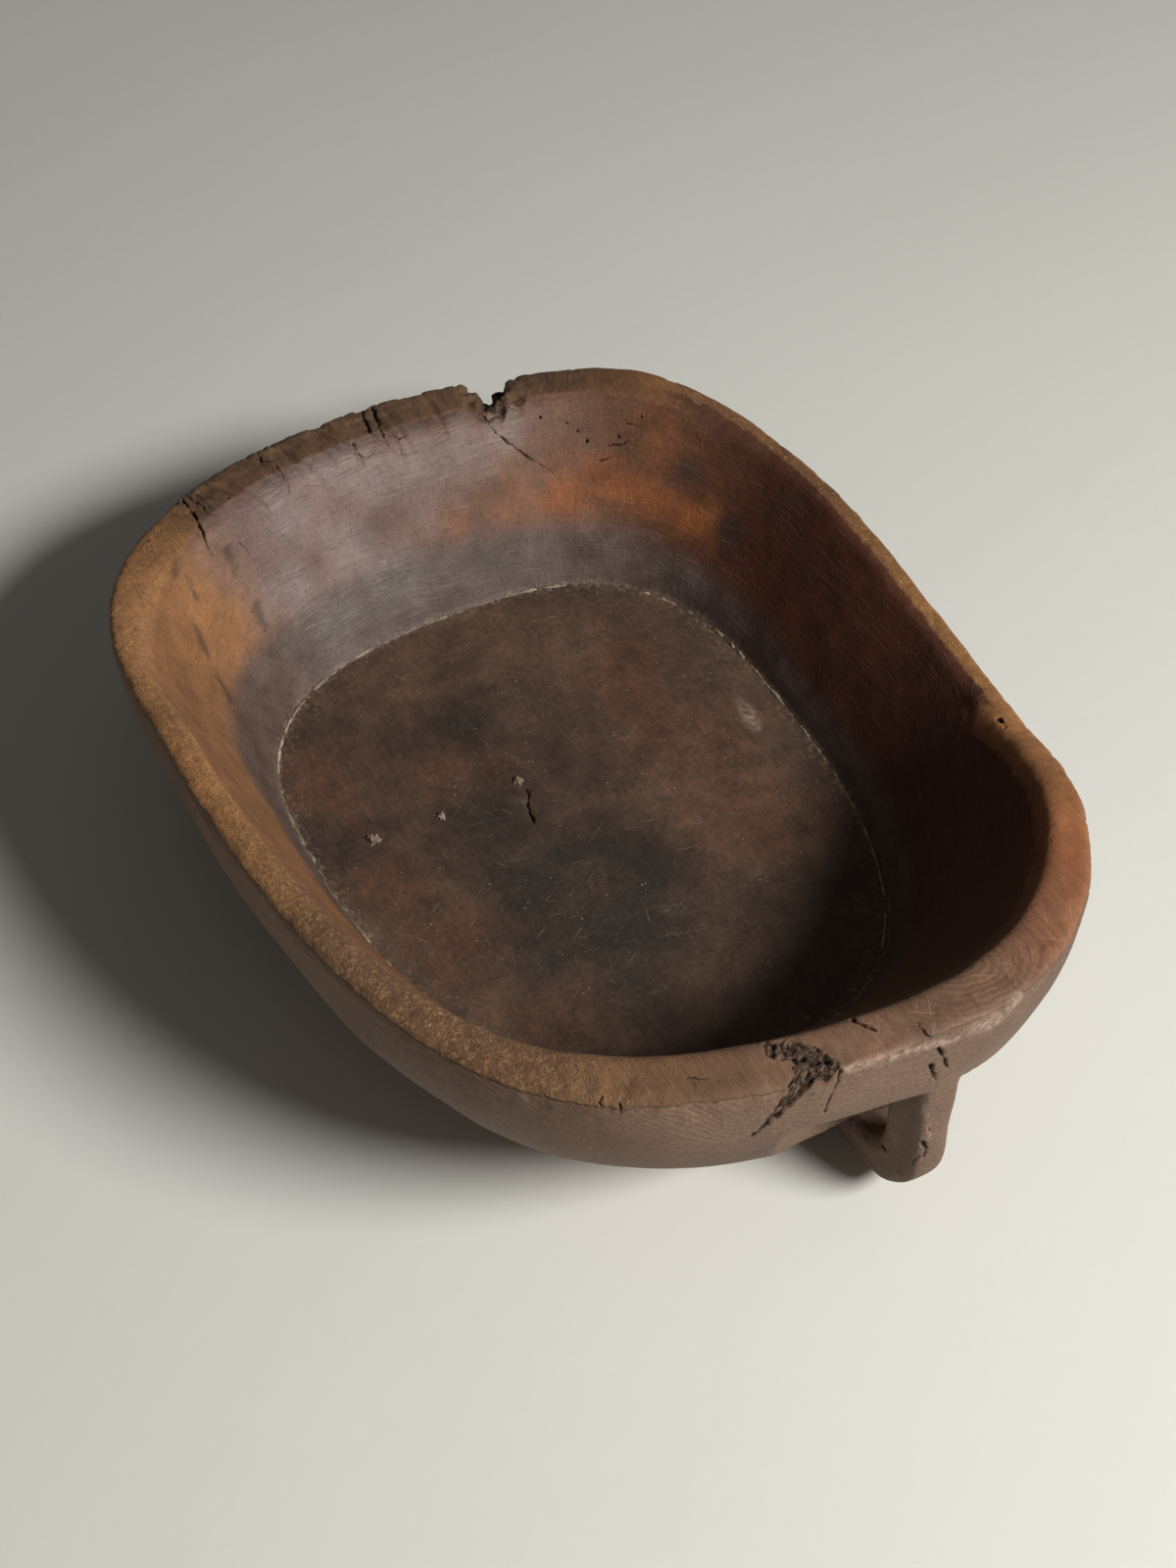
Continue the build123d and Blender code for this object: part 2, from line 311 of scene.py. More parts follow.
# Each row: height in mm, length of a wave in mm, shift of the noise, and where it shows.
WAVES = [
    (1.10, 85, 3.1, wall),
    (0.45, 30, 7.7, wall),
    (0.25, 45, 17.0, place["floor"]),
    (0.50, 12, 6.6, on_loop),
    (0.35, 14, 11.9, rough_top),
    (0.16, 6, 2.4, rough_top),
    (1.20, 4, 4.4, broken),
]
# Each row: depth in mm, size in mm along X, Y and Z, shift of the noise, and where it shows.
ADZE_MARKS = [
    (1.0, (60, 34, 34), 1.3, outside),
    (0.5, (22, 22, 13), 4.1, place["hollow"] * wall),
]
# Each row: depth in mm, size in mm, shift, where in the noise a chip starts and ends, and where it shows.
CHIPS = [
    (1.3, 10, 5.2, 0.10, 0.22, outer_edge * far_left),
    (0.4, 8, 8.3, 0.18, 0.30, outer_edge),
]
carve = np.zeros(len(at))
for high, length, shift, where in WAVES:
    carve += high * ripple(at / MM, length, shift) * where
for deep, size, shift, where in ADZE_MARKS:
    carve += deep * (scallops(at / MM, size, shift) - MEAN_SCALLOP) * where
for deep, size, shift, start, end, where in CHIPS:
    carve -= deep * eased(ripple(at / MM, size, shift), start, end) * where
carve -= TOOL_DEPTH * eased(ripple(unrolled / MM, TOOL_CUT, 1.0), 0.12, 0.45) * place["top"] * far_left
carve += LEDGE_HEIGHT * (eased(ripple(at / MM, LEDGE, 3.3), -0.12, 0.12) - LEDGE_MEAN) * broken
carve *= MM
carve *= eased(at[:, 2], 0.5 * MM, 5 * MM)
at, out = put_points(wood, at + out * carve[:, None])
print("carved between", round(carve.min() / MM, 2), "and", round(carve.max() / MM, 2), "mm")

# %% [markdown]
# The side of the loop handle that faces left is dished by years of fingers. A smooth hollow, deepest in
# the middle of that face, is pressed in along Y. A little wood was left in the corner behind the loop's
# foot, so the gap narrows there.

# %% Dish the side of the loop
DISH_DEPTH = 3.2 * MM
DISH_HALF_HEIGHT = 36 * MM
DISH_HALF_WIDTH = 11 * MM
DISH_FOOT = 12 * MM
WEB = np.array([227.0, 36.0, 35.0]) * MM
WEB_REACH = 14 * MM
WEB_DEPTH = 4.5 * MM

dish_up = (at[:, 2] - loop_low.z - DISH_FOOT - DISH_HALF_HEIGHT) / DISH_HALF_HEIGHT
dish_along = (at[:, 0] - loop_high.x + DISH_HALF_WIDTH) / DISH_HALF_WIDTH
dish = np.clip(1 - dish_up**2, 0, 1) * np.clip(1 - dish_along**2, 0, 1) * eased(-out[:, 1], 0.3, 0.8)
dish *= at[:, 1] < (loop_low.y + loop_high.y) / 2
at[:, 1] += DISH_DEPTH * dish * (at[:, 1] > loop_low.y - 3 * MM)
web = eased(np.linalg.norm(at - WEB, axis=1), WEB_REACH, 0.3 * WEB_REACH)
at += WEB_DEPTH * web[:, None] * out
at, out = put_points(wood, at)
print("dished", int((dish > 0.3).sum()), "points of the loop, raised", int((web > 0.3).sum()), "behind it")

# %% [markdown]
# Each crack, chip and hole of the real bowl has its place. They are written as short routes of photo
# pixels, each with a width and a depth in mm, and a ray through each pixel lands it on the wood. A boolean
# cut would need a tool body for every crack and would tear the even mesh.

# %% Routes of the cracks, chips and holes
CHECKS = [
    ([(181, 504), (190, 516), (199, 527), (206, 542), (212, 557), (219, 568), (224, 576)], 1.8, 4.4),
    ([(186, 503), (197, 510), (207, 518), (214, 527), (220, 536)], 1.6, 3.6),
    ([(193, 500), (206, 509), (215, 519), (219, 526)], 1.2, 2.4),
    ([(379, 416), (384, 428), (390, 442), (397, 457)], 2.2, 4.4),
    ([(367, 413), (371, 426), (377, 440), (385, 449)], 2.4, 4.0),
    ([(360, 452), (366, 464), (374, 468), (381, 462), (380, 452)], 1.4, 1.7),
    ([(262, 462), (266, 470), (277, 470), (284, 478), (291, 490), (296, 504)], 1.5, 2.2),
    ([(493, 426), (500, 434), (507, 442), (519, 452), (539, 467), (559, 479), (569, 486)], 1.5, 2.8),
    ([(508, 405), (514, 413), (524, 418), (532, 416)], 1.1, 1.6),
    ([(407, 447), (416, 443), (425, 442)], 1.2, 1.4),
    ([(866, 1037), (877, 1044), (894, 1052)], 2.8, 5.0),
    ([(859, 1094), (853, 1108), (848, 1119), (840, 1138)], 2.0, 3.4),
    ([(936, 1044), (946, 1056), (953, 1064), (958, 1070)], 1.0, 2.0),
    ([(957, 1071), (962, 1077), (965, 1085), (966, 1092)], 2.2, 3.4),
    ([(950, 1087), (952, 1095), (955, 1106)], 2.4, 4.2),
    ([(905, 1128), (908, 1120), (912, 1115)], 1.0, 1.4),
    ([(632, 1126), (634, 1136), (630, 1145)], 1.0, 1.0),
    ([(614, 1118), (612, 1126), (617, 1131)], 1.2, 1.1),
    ([(700, 1100), (716, 1100), (738, 1103)], 1.0, 1.4),
    ([(545, 838), (537, 822), (540, 809), (527, 795)], 2.2, 3.0),
    ([(1019, 733), (1024, 737), (1026, 744)], 2.6, 3.2),
    ([(136, 549), (145, 549), (153, 552)], 1.8, 2.2),
    ([(941, 1166), (945, 1172), (943, 1182)], 2.4, 2.4),
    ([(938, 1180), (932, 1185), (927, 1190)], 1.2, 1.4),
    ([(900, 1170), (904, 1175)], 1.6, 1.6),
    ([(949, 1150), (948, 1158)], 1.2, 1.2),
    ([(243, 552), (252, 561), (257, 572)], 1.0, 0.8),
    ([(640, 432), (650, 436), (657, 436)], 1.2, 1.2),
    ([(620, 455), (640, 452), (652, 458)], 1.4, 1.2),
    ([(612, 470), (628, 466), (640, 470)], 1.4, 1.2),
]
WORM_HOLES = [
    ((551, 425), 1.8, 3.0),
    ((599, 450), 1.6, 2.0),
    ((556, 383), 1.8, 2.0),
    ((578, 432), 1.2, 1.2),
    ((590, 440), 1.4, 1.2),
    ((631, 446), 1.6, 1.4),
    ((163, 541), 1.8, 1.8),
    ((655, 425), 1.5, 1.4),
    ((233, 508), 1.5, 1.2),
]
ROUTE_STEP = 2.0

tree = BVHTree.FromPolygons(at.tolist(), [tuple(face.vertices) for face in wood.polygons])


def land(pixel):
    """Where the ray through a pixel of the photograph meets the wood, or None."""
    return tree.ray_cast(EYE, ray_through(pixel))[0]


def landed_route(pixels):
    """A route of pixels as points on the wood, close enough together to follow its curves."""
    found = []
    for start, end in zip(pixels, pixels[1:]):
        steps = max(1, round(math.dist(start, end) / ROUTE_STEP))
        for step in range(steps + 1):
            share = step / steps
            spot = land([a + share * (b - a) for a, b in zip(start, end)])
            if spot is not None:
                found.append(spot)
    return found


marks = [(landed_route(pixels), width * MM, deep * MM) for pixels, width, deep in CHECKS]
marks += [([land(pixel)], width * MM, deep * MM) for pixel, width, deep in WORM_HOLES]
print(len(marks), "marks landed on the wood")

# %% [markdown]
# The torn patch beside the handle is where a strip of the rim broke away and left black splintered
# fibres. It is an area round two short routes, each with a width in mm and the share by which it narrows.
# The skin's squares are too coarse for it and for thin cracks, so the mesh is cut finer near every mark.

# %% Finer mesh near the marks
TORN_PATCH = [
    ([(793, 1070), (810, 1073), (827, 1080), (842, 1090)], 11.0, 0.0),
    ([(826, 1082), (822, 1100), (808, 1121), (789, 1141), (767, 1160)], 11.0, 0.85),
]
FINE_REACH = 3.2 * MM
FINE_CUTS = 2


def finder(spots):
    """A tree that finds the spots near a place."""
    found = KDTree(len(spots))
    for number, spot in enumerate(spots):
        found.insert(spot, number)
    found.balance()
    return found


def refined(mesh, spots):
    """Cuts the mesh finer round spots, each with its reach."""
    cells = finder([corner.co for corner in mesh.vertices])
    near = {found[1] for spot, reach in spots for found in cells.find_range(spot, reach)}
    shape = bmesh.new()
    shape.from_mesh(mesh)
    fine = [edge for edge in shape.edges if edge.verts[0].index in near and edge.verts[1].index in near]
    bmesh.ops.subdivide_edges(shape, edges=fine, cuts=FINE_CUTS, use_grid_fill=True)
    shape.to_mesh(mesh)
    shape.free()


tears = [(landed_route(pixels), width * MM, taper) for pixels, width, taper in TORN_PATCH]
fine_spots = [(spot, FINE_REACH + width / 2) for route, width, _ in marks for spot in route]
fine_spots += [(spot, 1.1 * width) for route, width, _ in tears for spot in route[::4]]
refined(wood, fine_spots)
at, out = points_of(wood)
print("refined to", len(at), "points")

# %% [markdown]
# Points near a crack sink along a wedge that narrows towards the end of its route, and uneven noise keeps
# its sides from looking ruled. The torn patch sinks by noise that is stretched like fibres.

# %% Sink the marks and tear the patch
# Spots at the broken notch and by one crack, where shade is painted dark.
SHADY_SPOTS = [((508, 407), 6.0), ((501, 418), 4.0), ((515, 399), 4.0), ((375, 440), 3.0)]
TORN_DEPTH = 3.4 * MM
CRACK_SHADE = 1.35
THINNEST = 0.45 * MM
SHAKE = 0.8 * MM


def shaken(points):
    """Points pushed about a little, so that a line near them comes out jagged."""
    return points + SHAKE * np.stack([ripple(points, 0.0034, shift) for shift in (1.0, 5.0, 9.0)], 1)


def near_route(points, route, reach):
    """For points within reach of a route: their numbers, their distance and their share of its length."""
    line = finder(route)
    corners = np.array(route)
    close = np.all((points > corners.min(0) - reach) & (points < corners.max(0) + reach), axis=1)
    numbers = np.nonzero(close)[0]
    hits = [line.find(spot) for spot in shaken(points[numbers]).tolist()]
    distance = np.array([hit[2] for hit in hits])
    share = np.array([hit[1] for hit in hits]) / max(len(route) - 1, 1)
    return numbers, distance, share


# Painted shade: a dark mask inside each crack and hole, and round the shady spots at the notch.
dark = np.zeros(len(at))
sink = np.zeros(len(at))
for pixel, reach in SHADY_SPOTS:
    distance = np.linalg.norm(at - np.array(land(pixel)), axis=1) + 2.0 * MM * ripple(at, 0.005, 2.0)
    dark = np.maximum(dark, 0.9 * eased(distance, 1.2 * reach * MM, 0.4 * reach * MM))
for route, width, deep in marks:
    numbers, distance, share = near_route(at, route, 4 * width)
    uneven = 1.0 + 0.8 * ripple(at[numbers], 0.005, 21.0)
    taper = 0.30 + 0.70 * np.sqrt(np.clip(1 - share, 0, 1)) if len(route) > 1 else np.ones(len(numbers))
    half = np.maximum(width * taper * uneven / 2, THINNEST * taper)
    wedge = np.clip(1.25 - distance / half, 0, 1)
    sink[numbers] = np.maximum(sink[numbers], deep * taper * wedge)
    shade = eased(distance, half * CRACK_SHADE, half * 0.6) * (0.6 + 0.4 * taper)
    dark[numbers] = np.maximum(dark[numbers], shade)
torn = np.zeros(len(at))
for route, width, taper in tears:
    numbers, distance, share = near_route(at, route, 2.2 * width)
    width = width * (1 - taper * share)
    ragged = distance + 0.30 * width * ripple(at[numbers], 7 * MM, 4.0)
    ragged += 0.9 * MM * ripple(at[numbers], 2.8 * MM, 6.0)
    torn[numbers] = np.maximum(torn[numbers], eased(ragged, width * 0.60, width * 0.46))
TEAR_WAY = (tears[1][0][-1] - tears[1][0][0]).normalized()
drawn_out = at - 0.85 * (at @ np.array(TEAR_WAY))[:, None] * np.array(TEAR_WAY)
splinters = 0.45 + 0.9 * ripple(drawn_out, 0.0024, 9.0) + 0.5 * ripple(drawn_out, 0.0050, 2.0)
sink = np.maximum(sink, TORN_DEPTH * torn * np.clip(splinters, 0, 1.3))
at, out = put_points(wood, at - out * sink[:, None])
print("deepest mark", round(sink.max() / MM, 1), "mm,", int((torn > 0.5).sum()), "torn points")

# %% [markdown]
# The skin is finer than flat stretches need. Decimation thins it there and keeps small cells at cracks and
# edges, so the finished mesh stays light enough to hand on. The measures of place are then taken again on
# the points that are left.

# %% Thin the skin and set up the bowl
MOST_TRIANGLES = 196_000
bowl = in_scene("carved_bowl", wood)


def store_zone(mesh, name, values):
    """Keeps a number on every point for the material."""
    mesh.attributes.new(name, "FLOAT", "POINT").data.foreach_set("value", values.astype(np.float32))


store_zone(wood, "crack", dark)
store_zone(wood, "torn", torn)
thin = bowl.modifiers.new("thin", "DECIMATE")
thin.ratio = min(1.0, MOST_TRIANGLES / sum(len(face.vertices) - 2 for face in wood.polygons))
thin.use_collapse_triangulate = True
thinned = applied(bowl)
bowl.modifiers.clear()
bowl.data = thinned
thinned.name = "carved_bowl"
bpy.data.meshes.remove(wood)
thinned.polygons.foreach_set("use_smooth", np.ones(len(thinned.polygons), bool))
at, out = points_of(thinned)
place = places_of(at, out)
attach(bowl, "root")
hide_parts("bowl_body", "loop_handle")
print("bowl of", len(thinned.polygons), "triangles")

# %% [markdown]
# Colour on old wood lies in zones. Round the rim and round the wall the base tone drifts from one wood tone
# to the next, so a few tones are set at spots of the photograph and blended by the turn between them. They
# are stored on the points, and the material adds all finer variation.

# %% Wood tones round the bowl
def paint(red, green, blue):
    """A colour as seen on a screen, from 0 to 255, as the linear colour that a shader takes."""
    shares = (red / 255, green / 255, blue / 255)
    return tuple(((share + 0.055) / 1.055) ** 2.4 if share > 0.04 else share / 12.92 for share in shares)


OCHRE = paint(158, 111, 68)
PALE_OCHRE = paint(182, 130, 84)
MUTED_OCHRE = paint(130, 95, 65)
DULL_OCHRE = paint(112, 82, 58)
WEATHERED = paint(100, 73, 52)
WARM_BROWN = paint(120, 80, 46)
GOLDEN = paint(150, 104, 58)
ORANGE_BROWN = paint(136, 83, 49)
POLISHED = paint(110, 80, 60)
TAN = paint(137, 95, 60)
GREY_MAUVE = paint(116, 93, 85)
ROSE_BROWN = paint(98, 71, 57)
PALE_ROSE = paint(116, 85, 68)
RED_BROWN = paint(92, 57, 35)
# Dark brown, partly painted shade: the right wall, which lies in shade, is made darker.
DARK_BROWN_AND_SHADE = paint(74, 37, 17)
RIM_TONES = [
    ((118, 640), PALE_OCHRE), ((150, 545), OCHRE), ((190, 497), WEATHERED), ((420, 408), WEATHERED),
    ((560, 392), WEATHERED), ((660, 384), WARM_BROWN), ((830, 480), WARM_BROWN), ((1000, 705), GOLDEN),
    ((1090, 880), ORANGE_BROWN), ((1020, 1000), POLISHED), ((840, 1060), POLISHED),
    ((720, 1090), DULL_OCHRE), ((610, 1090), MUTED_OCHRE), ((430, 1010), DULL_OCHRE), ((240, 830), OCHRE),
]
WALL_TONES = [
    ((190, 650), TAN), ((205, 600), TAN), ((260, 560), GREY_MAUVE), ((350, 520), GREY_MAUVE),
    ((450, 500), ROSE_BROWN), ((560, 440), PALE_ROSE), ((650, 470), RED_BROWN), ((780, 540), DARK_BROWN_AND_SHADE),
    ((1000, 800), DARK_BROWN_AND_SHADE), ((260, 800), TAN),
]


def turn_at(pixel):
    """Turn round the bowl of a photo spot. A ray that misses the rim is met at the rim's mean height."""
    way = ray_through(pixel)
    spot = land(pixel) or EYE + way * ((rim_heights.mean() - EYE.z) / way.z)
    return plan_of(np.array([spot]))[0][0]


def tones_round(stations):
    """The tone at every point, blended by turn between stations given as a pixel and a tone."""
    placed = sorted(((turn_at(pixel), tone) for pixel, tone in stations), key=lambda station: station[0])
    turns = [station[0] for station in placed]
    wander = place["turn"] + 0.07 * ripple(at, 0.030, 6.0)
    tones = np.array([station[1] for station in placed])
    return np.stack([np.interp(wander, turns, band, period=2 * math.pi) for band in tones.T], 1)


def store_tone(name, tones):
    """Keeps a colour on every point for the material."""
    colour = np.concatenate([tones, np.ones((len(tones), 1))], 1).astype(np.float32)
    thinned.attributes.new(name, "FLOAT_COLOR", "POINT").data.foreach_set("color", colour.ravel())


store_tone("rim_tone", tones_round(RIM_TONES))
store_tone("wall_tone", tones_round(WALL_TONES))
print(len(RIM_TONES), "tones round the rim,", len(WALL_TONES), "round the wall")

# %% [markdown]
# Other zones are masks from 0 to 1: the grease that rises from the floor, amber where light wood shows
# through, a pale bloom that also paints the wall's sheen, soot that also paints shade towards the near
# right, reddish stains, and worn edges, which also paint a highlight along the lip. Each is a set of soft
# patches or bands round spots of the photograph, torn at the edges by noise so that none looks like a disc.
# Reaches and widths are in mm.

# %% Zones of stain and wear
AMBER_ROUTES = [
    ([(566, 512), (588, 499), (612, 491), (634, 497), (660, 506), (690, 520), (718, 538)], 11.0),
]
AMBER_SPOTS = [((520, 512), 24), ((470, 530), 11), ((570, 480), 14), ((690, 462), 22)]
# Spots of grey bloom, whose pale colour also paints the sheen on the far wall.
PALE_BLOOM_AND_SHEEN_SPOTS = [
    ((330, 475), 26), ((375, 485), 24), ((420, 470), 24), ((470, 455), 22), ((290, 520), 20),
    ((360, 560), 22), ((510, 440), 14), ((300, 600), 18), ((400, 590), 24), ((340, 640), 20),
]
# Soot stains; the spots towards the near right of the floor and on the right wall also paint shade there.
SOOT_AND_SHADE_SPOTS = [
    ((560, 890), 36), ((620, 945), 44), ((520, 850), 22), ((660, 900), 30), ((470, 740), 20),
    ((560, 970), 34), ((640, 1000), 26), ((500, 830), 26), ((540, 905), 36), ((610, 870), 24),
    ((655, 950), 34), ((700, 480), 10), ((745, 545), 12),
]
RUSTY_SPOTS = [
    ((760, 830), 40), ((480, 960), 32), ((700, 760), 36), ((600, 1010), 24), ((470, 790), 24),
    ((640, 690), 30), ((400, 900), 20), ((560, 1035), 26), ((330, 800), 22),
]
SMUDGES = [
    ([(175, 568), (179, 585)], 2.6),
    ([(193, 592), (200, 612)], 2.2),
    ([(200, 640), (212, 668)], 2.4),
    ([(232, 560), (240, 584)], 1.8),
    ([(222, 690), (236, 716)], 2.2),
    ([(262, 620), (270, 640)], 2.0),
]
# The first route runs along the lip's edge, where the pale also paints a highlight; the others are worn or
# dusty spots.
WORN_AND_HIGHLIGHT_ROUTES = [
    ([(858, 1094), (880, 1087), (906, 1080), (944, 1068), (977, 1060)], 1.9),
    ([(996, 1050), (1008, 1045), (1018, 1041)], 4.0),
    ([(1030, 1030), (1040, 1020)], 3.0),
    ([(938, 1130), (944, 1132), (949, 1147), (948, 1160), (941, 1170)], 0.9),
    ([(758, 716), (762, 728), (770, 738)], 3.0),
    ([(391, 576), (404, 571), (418, 566)], 0.9),
]


def patches(spots):
    """Soft blotches round photo spots, each with its reach in mm."""
    found = np.zeros(len(at))
    ragged = 1 + 0.60 * ripple(at, 0.024, 31.0) + 0.35 * ripple(at, 0.009, 13.0)
    for pixel, reach in spots:
        distance = np.linalg.norm(at - np.array(land(pixel)), axis=1) / (reach * MM)
        found = np.maximum(found, eased(distance * ragged, 1.5, 0.1))
    return found


def bands(routes):
    """Soft bands along photo routes, each with its half width in mm."""
    found = np.zeros(len(at))
    for pixels, width in routes:
        numbers, distance, _ = near_route(at, landed_route(pixels), 3 * width * MM + 2 * MM)
        tear = ripple(at[numbers], 6 * MM, 8.0) + ripple(at[numbers], 19 * MM, 3.0)
        edge = eased(distance * (1 + 0.5 * tear), 1.7 * width * MM, 0.3 * width * MM)
        found[numbers] = np.maximum(found[numbers], edge)
    return found


FUZZ_PIXELS = ((150, 545), (660, 1095))
THIN_PIXEL = (1015, 728)
FUZZ_LOW, FUZZ_HIGH = [turn_at(pixel) for pixel in FUZZ_PIXELS]
THIN_START = turn_at(THIN_PIXEL)
GREASE_TURN = 2.4
hollow_wall = place["hollow"] * (1 - place["floor"])
grease_line = 0.30 + 0.10 * np.cos(place["turn"] + GREASE_TURN) + 0.08 * ripple(at, 0.05, 2.0)
thick_rim = eased(at[:, 0], -0.11, -0.17)
thin_rim = between(place["turn"], THIN_START - 0.06, THIN_START + 0.10, 2.2, 2.5)
flat_top = place["top"] * (1 - thick_rim * eased(place["inward"], 21 * MM, 31 * MM))
left_fuzz = between(place["turn"], FUZZ_LOW - 0.10, FUZZ_LOW + 0.05, FUZZ_HIGH - 0.25, FUZZ_HIGH + 0.10)
zones = {
    "hollow": place["hollow"],
    "floor": place["floor"],
    "top": flat_top * (1 - thin_rim * eased(place["inward"], 8 * MM, 13 * MM)),
    "fuzz": np.maximum(left_fuzz, 0.6 * thin_rim),
    "polish": eased(np.abs(place["turn"] - 0.15), 0.55, 0.35),
    "grease": hollow_wall * eased(place["share"], grease_line + 0.10, grease_line - 0.08),
    "amber": np.maximum(bands(AMBER_ROUTES), 0.5 * patches(AMBER_SPOTS)) * hollow_wall,
    "pale": patches(PALE_BLOOM_AND_SHEEN_SPOTS) * hollow_wall,
    "soot": np.maximum(patches(SOOT_AND_SHADE_SPOTS), 0.8 * bands(SMUDGES)) * place["hollow"],
    "rust": patches(RUSTY_SPOTS) * place["floor"],
    "worn": bands(WORN_AND_HIGHLIGHT_ROUTES),
    "round": place["away"] * ROUND_REACH,
    "rugged": between(place["away"], -0.85, -0.45, 0.52, 0.66),
    "inward": place["inward"],
    "dust": eased(np.abs(place["reach"] - 0.99), 0.035, 0.0)
    * eased(at[:, 2], FLOOR_LEVEL + 7 * MM, FLOOR_LEVEL + 2 * MM),
}
for name, values in zones.items():
    store_zone(thinned, name, values)
print({name: int((values > 0.5).sum()) for name, values in zones.items()})

# %% [markdown]
# Materials are sums of simple patterns, and sums read best as sums. A small class wraps a node's output,
# so that plus, minus and times in Python each add a Math node. One method makes every other node: it sets
# the node's settings first, then its sockets.

# %% A small language for finishes
SCRATCH_STRETCH = (46.0, 1300.0, 260.0)


class Tap:
    """A node's output that can be added, multiplied and so on."""

    def __init__(self, finish, socket):
        self.finish = finish
        self.socket = socket

    def maths(self, operation, first, second):
        return self.finish.node("ShaderNodeMath", {"operation": operation}, {0: first, 1: second})

    def __add__(self, other):
        return self.maths("ADD", self, other)

    __radd__ = __add__

    def __sub__(self, other):
        return self.maths("SUBTRACT", self, other)

    def __rsub__(self, other):
        return self.maths("SUBTRACT", other, self)

    def __mul__(self, other):
        return self.maths("MULTIPLY", self, other)

    __rmul__ = __mul__

    def held(self, low, high):
        """Kept between two values."""
        return self.maths("MINIMUM", self.maths("MAXIMUM", self, low), high)

    def eased(self, start, end):
        """0 before start, 1 past end, smooth between. Start may be the larger."""
        if start > end:
            return 1 - self.eased(end, start)
        settings = {"interpolation_type": "SMOOTHSTEP"}
        sockets = {"Value": self, "From Min": start, "From Max": end}
        return self.finish.node("ShaderNodeMapRange", settings, sockets)


class Finish:
    """A material and the means to add nodes to it. Where is the place on the object, in metres."""

    def __init__(self, name):
        self.material = bpy.data.materials.new(name)
        self.material.use_nodes = True
        self.nodes = self.material.node_tree.nodes
        self.links = self.material.node_tree.links
        self.shader = self.nodes["Principled BSDF"]
        self.where = self.node("ShaderNodeTexCoord", out="Object")

    def node(self, kind, settings=None, sockets=None, out=0):
        """Any node: its settings first, then the values or links of its sockets."""
        made = self.nodes.new(kind)
        for name, value in (settings or {}).items():
            if name == "stops":
                self.set_stops(made.color_ramp.elements, value)
            else:
                setattr(made, name, value)
        for name, value in (sockets or {}).items():
            self.feed(made.inputs[name], value)
        return Tap(self, made.outputs[out])

    def set_stops(self, elements, stops):
        while len(elements) < len(stops):
            elements.new(1.0)
        for element, (position, colour) in zip(elements, stops):
            element.position = position
            element.color = (*colour, 1.0)

    def feed(self, socket, value):
        if isinstance(value, Tap):
            self.links.new(value.socket, socket)
        elif socket.type == "RGBA":
            socket.default_value = (*value, 1.0)
        else:
            socket.default_value = value

    def vector(self, operation, first, second):
        return self.node("ShaderNodeVectorMath", {"operation": operation}, {0: first, 1: second})

    def mottle(self, scale, detail=4.0, rough=0.55, twist=0.0, where=None):
        """Cloudy noise from 0 to 1. Scale is in waves per metre, one number or one for each axis."""
        where = where or self.where
        if hasattr(scale, "__len__"):
            where = self.vector("MULTIPLY", where, scale)
            scale = 1.0
        sockets = {"Vector": where, "Scale": scale, "Detail": detail, "Roughness": rough}
        return self.node("ShaderNodeTexNoise", {}, {**sockets, "Distortion": twist})

    def specks(self, scale):
        """Distance to scattered points, from 0 at a point."""
        return self.node("ShaderNodeTexVoronoi", {}, {"Vector": self.where, "Scale": scale}, out="Distance")

    def scratches(self, angle, shift):
        """Short thin lines at an angle to the bowl, 0 or 1."""
        placed = self.vector("ADD", self.where, (shift, shift, 0.0))
        sockets = {"Vector": placed, "Angle": angle}
        turned = self.node("ShaderNodeVectorRotate", {"rotation_type": "Z_AXIS"}, sockets)
        return self.mottle(SCRATCH_STRETCH, 2.0, 0.5, where=turned).eased(0.66, 0.74)

    def rings(self, middle, squash, wander, spacing):
        """Rings round a middle, from 0 to 1, and the distance to it, shortened along each axis by squash."""
        offset = self.vector("MULTIPLY", self.vector("SUBTRACT", self.where, middle), squash)
        reach = self.node("ShaderNodeVectorMath", {"operation": "LENGTH"}, {0: offset}, out="Value")
        turns = (reach + wander) * (2 * math.pi / spacing)
        return self.node("ShaderNodeMath", {"operation": "SINE"}, {0: turns}) * 0.5 + 0.5, reach

    def zone(self, name):
        """A mask kept on the points."""
        return self.node("ShaderNodeAttribute", {"attribute_name": name}, out="Fac")

    def tone(self, name):
        """A colour kept on the points."""
        return self.node("ShaderNodeAttribute", {"attribute_name": name}, out="Color")

    def mix(self, share, first, second, how="MIX"):
        """Colour between two colours."""
        settings = {"data_type": "RGBA", "blend_type": how}
        return self.node("ShaderNodeMix", settings, {0: share, 6: first, 7: second}, out=2)

    def layers(self, colour, *coats):
        """A colour under thin coats, lowest first, each a mask and a tone."""
        for mask, tone in coats:
            colour = self.mix(mask, colour, tone)
        return colour

    def ramp(self, share, *stops):
        return self.node("ShaderNodeValToRGB", {"stops": stops}, {"Fac": share}, out="Color")

    def shaded(self, colour, *patterns):
        """A colour times greys. Each is a pattern and the dark and the pale grey that it runs between."""
        for share, dark, pale in patterns:
            grey = self.ramp(share, (0.28, (dark,) * 3), (0.72, (pale,) * 3))
            colour = self.mix(1.0, colour, grey, "MULTIPLY")
        return colour

    def done(self, colour, roughness, height, depth):
        """Feeds the shader. Height is in depths, and depth in metres."""
        self.feed(self.shader.inputs["Base Color"], colour)
        self.feed(self.shader.inputs["Roughness"], roughness)
        sockets = {"Strength": 1.0, "Distance": depth, "Height": height}
        self.feed(self.shader.inputs["Normal"], self.node("ShaderNodeBump", {}, sockets, out="Normal"))
        return self.material


print("ready to mix finishes")

